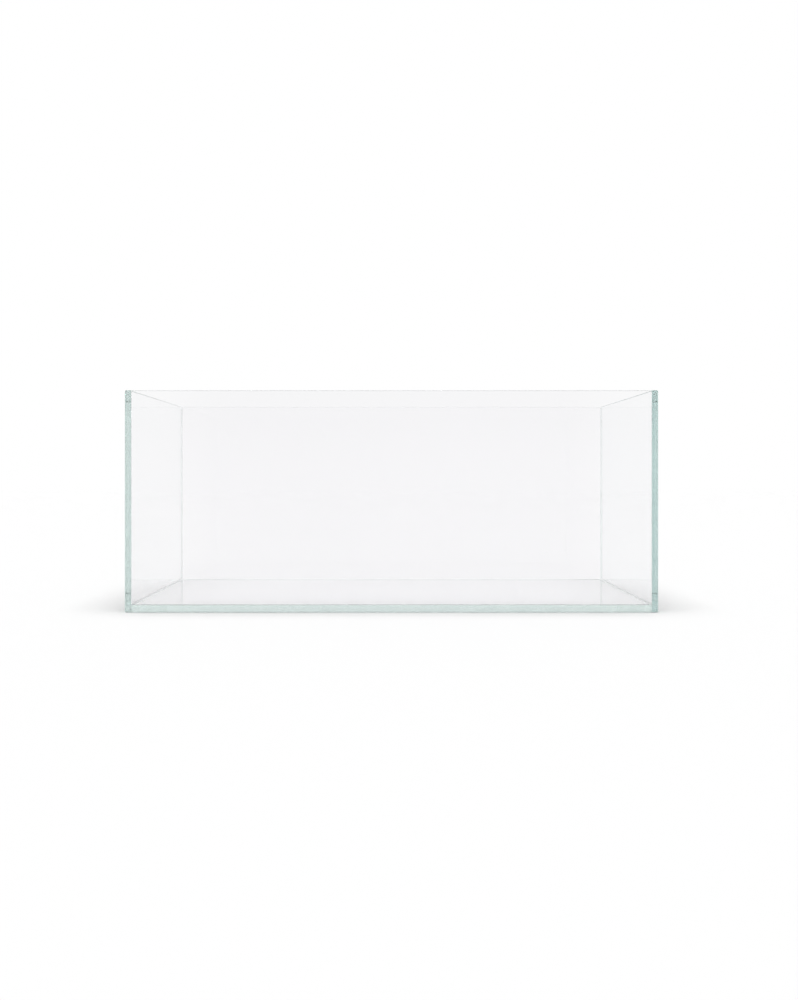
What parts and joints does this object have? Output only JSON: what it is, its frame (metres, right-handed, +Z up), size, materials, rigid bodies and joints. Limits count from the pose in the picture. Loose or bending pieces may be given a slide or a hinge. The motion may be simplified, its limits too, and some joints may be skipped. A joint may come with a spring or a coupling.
{
  "type": "shallow aquarium",
  "caption": "Shallow rimless open-top glass aquarium: flat low-iron panes bonded edge to face with clear silicone, the bottom pane set inside the walls.",
  "frame": {"origin": "centre of the footprint, on the surface that the tank stands on", "axes": "+X along the length to the viewer's right, -Y towards the viewer and the front pane, +Z up"},
  "size_m": [0.6, 0.36, 0.25],
  "materials": {
    "low_iron_glass": "polished flat glass with ground and polished edges, pale sea-green when seen along the pane",
    "clear_silicone": "cured clear silicone, smooth, slightly milky"
  },
  "bodies": {
    "root": {"front_glass": "low_iron_glass", "back_glass": "low_iron_glass", "left_glass": "low_iron_glass", "right_glass": "low_iron_glass", "bottom_glass": "low_iron_glass", "seam_front_left": "clear_silicone", "seam_front_right": "clear_silicone", "seam_back_left": "clear_silicone", "seam_back_right": "clear_silicone", "seam_bottom_front": "clear_silicone", "seam_bottom_back": "clear_silicone", "seam_bottom_left": "clear_silicone", "seam_bottom_right": "clear_silicone"}
  },
  "joints": []
}
